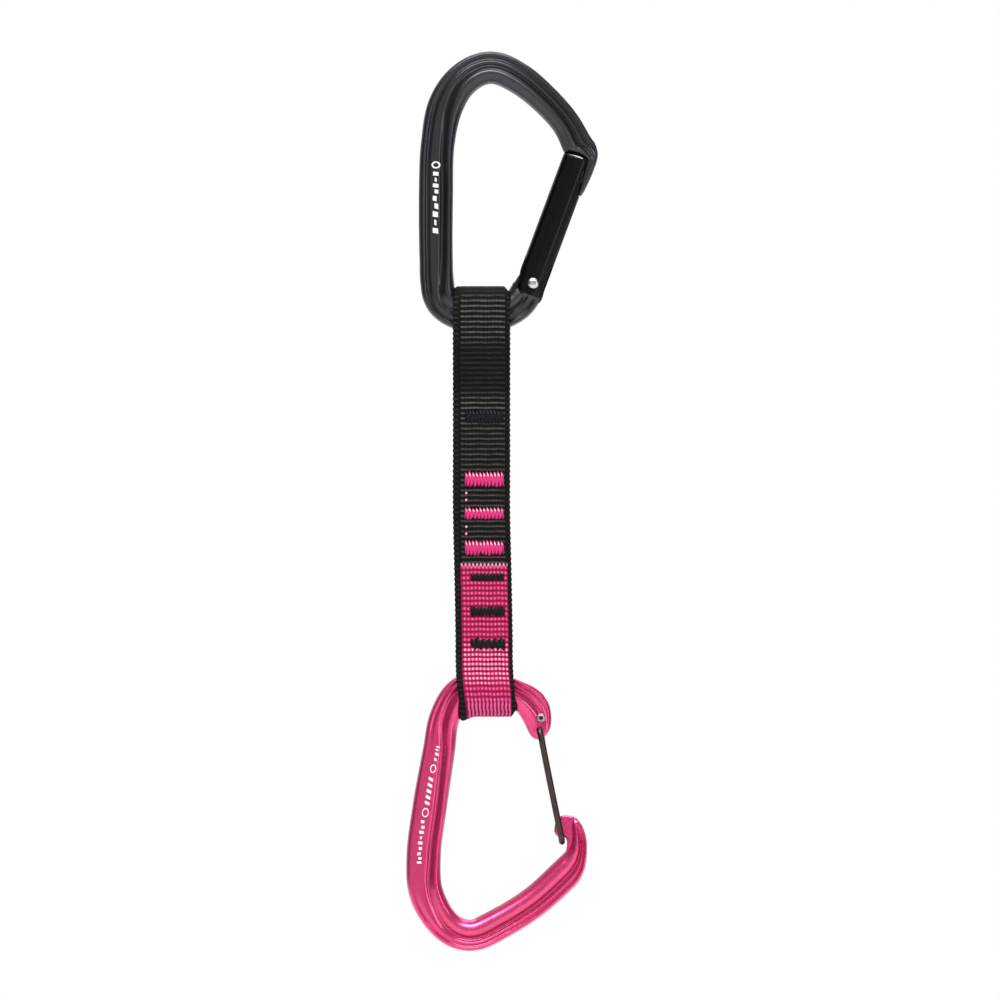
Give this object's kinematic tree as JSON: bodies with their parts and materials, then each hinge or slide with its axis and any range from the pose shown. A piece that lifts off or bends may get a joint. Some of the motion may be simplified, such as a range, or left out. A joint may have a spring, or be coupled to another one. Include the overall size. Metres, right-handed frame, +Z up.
{
  "type": "climbing quickdraw",
  "caption": "Climbing quickdraw: a solid-gate carabiner and a wire-gate carabiner joined by a sewn flat webbing sling, hanging in line.",
  "frame": {"origin": "bearing point of the top basket of the bolt-end carabiner, in the middle plane", "axes": "+Z up along the hanging quickdraw, +X towards the gates, +Y out of the back"},
  "size_m": [0.0669, 0.0148, 0.3149],
  "materials": {
    "black_anodised": "satin anodised",
    "black_gate": "glossy anodised",
    "magenta_anodised": "bright anodised",
    "polished_steel": "polished",
    "spring_steel": "dark drawn wire",
    "black_webbing": "woven",
    "pink_webbing": "woven",
    "black_thread": "bonded thread",
    "pink_thread": "bonded thread",
    "rubber": "matt"
  },
  "bodies": {
    "upper_carabiner": {"upper_frame": "black_anodised", "upper_gate_pin": "polished_steel"},
    "upper_gate": {"upper_gate": "black_gate", "upper_gate_spring": "spring_steel"},
    "upper_gate_plunger": {"upper_gate_plunger": "polished_steel"},
    "sling_upper": {"webbing_upper_loop": "black_webbing", "webbing_front_upper": "black_webbing", "webbing_back_upper": "black_webbing", "webbing_end_upper": "black_webbing", "bartack_1": "black_thread", "bartack_2": "pink_thread"},
    "sling_lower": {"webbing_front_lower": "pink_webbing", "webbing_back_lower": "pink_webbing", "webbing_end_lower": "pink_webbing", "webbing_lower_loop": "pink_webbing", "bartack_3": "pink_thread", "bartack_4": "pink_thread", "bartack_5": "black_thread", "bartack_6": "black_thread", "bartack_7": "black_thread"},
    "lower_carabiner": {"lower_frame": "magenta_anodised", "keeper": "rubber"},
    "wire_gate": {"wire_gate": "spring_steel"}
  },
  "joints": [
    {"name": "upper_gate_hinge", "type": "hinge", "parent": "upper_carabiner", "child": "upper_gate", "pos_m": [0.0151, 0, -0.0698], "axis": [0, -1, 0], "range_deg": [0, 30], "stiffness_Nm_per_rad": 0.25, "springref_deg": -34.38},
    {"name": "plunger_slide", "type": "slide", "parent": "upper_gate", "child": "upper_gate_plunger", "axis": [0.3487, 0, 0.9372], "range_m": [0, 0.001], "deforming": ["upper_gate_spring"]},
    {"name": "sling_swing", "type": "hinge", "parent": "upper_carabiner", "child": "sling_upper", "pos_m": [-0.0029, 0, -0.08215], "axis": [1, 0, 0], "range_deg": [-80, 80], "deforming": ["webbing_upper_loop"]},
    {"name": "sling_twist", "type": "hinge", "parent": "sling_upper", "child": "sling_lower", "pos_m": [-0.0029, 0, -0.144], "axis": [0, 0, 1], "range_deg": [-90, 90], "stiffness_Nm_per_rad": 0.02},
    {"name": "lower_swing", "type": "hinge", "parent": "sling_lower", "child": "lower_carabiner", "pos_m": [-0.0005, 0, -0.2105], "axis": [1, 0, 0], "range_deg": [-60, 60], "deforming": ["webbing_lower_loop"]},
    {"name": "wire_gate_hinge", "type": "hinge", "parent": "lower_carabiner", "child": "wire_gate", "pos_m": [0.0176, 0, -0.2239], "axis": [0, 1, 0], "range_deg": [0, 33], "stiffness_Nm_per_rad": 0.12, "springref_deg": -28.65}
  ],
  "couplings": [
    {"joint": "plunger_slide", "follows": "upper_gate_hinge", "m_per_rad": 0.0019}
  ]
}
